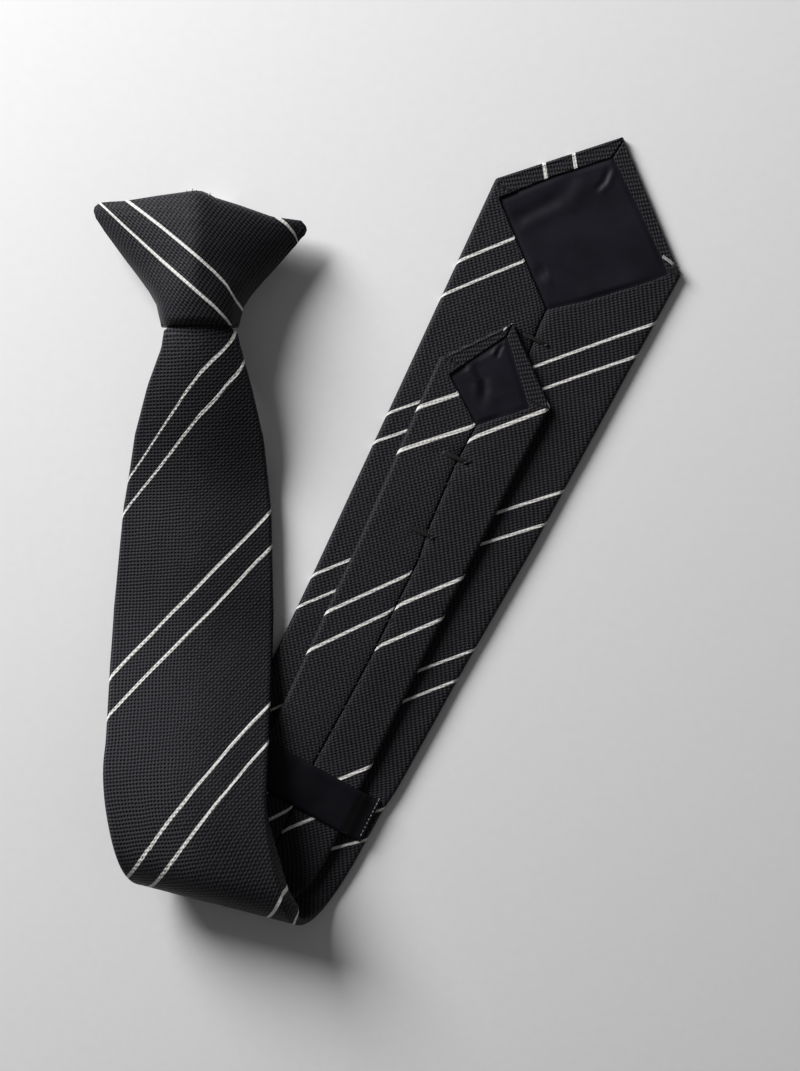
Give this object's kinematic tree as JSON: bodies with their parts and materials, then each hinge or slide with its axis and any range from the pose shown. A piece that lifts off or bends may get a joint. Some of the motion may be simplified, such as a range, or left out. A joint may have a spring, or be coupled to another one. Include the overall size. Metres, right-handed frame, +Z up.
{
  "type": "clip-on tie",
  "caption": "Pre-tied clip-on tie with thin diagonal stripe pairs, laid flat with its lower half folded under and back up beside the knot.",
  "frame": {"origin": "on the surface that the tie lies on, under the middle of its bounding box", "axes": "+Z up from the surface, +Y from the folded end towards the knot and the points, +X from the front blade towards the folded-back blade"},
  "size_m": [0.2034, 0.2748, 0.03],
  "materials": {
    "striped_cloth": "matt black dobby weave with pairs of thin off-white diagonal stripes",
    "satin_lining": "smooth dark slate satin with soft creases",
    "satin_ribbon": "black satin ribbon",
    "clip_metal": "plain bright plate"
  },
  "bodies": {
    "root": {"knot_wrap": "striped_cloth", "wide_blade": "striped_cloth", "wide_tip_lining": "satin_lining", "narrow_blade": "striped_cloth", "narrow_tip_lining": "satin_lining", "keeper_loop": "satin_ribbon", "collar_clip": "clip_metal"}
  },
  "joints": []
}
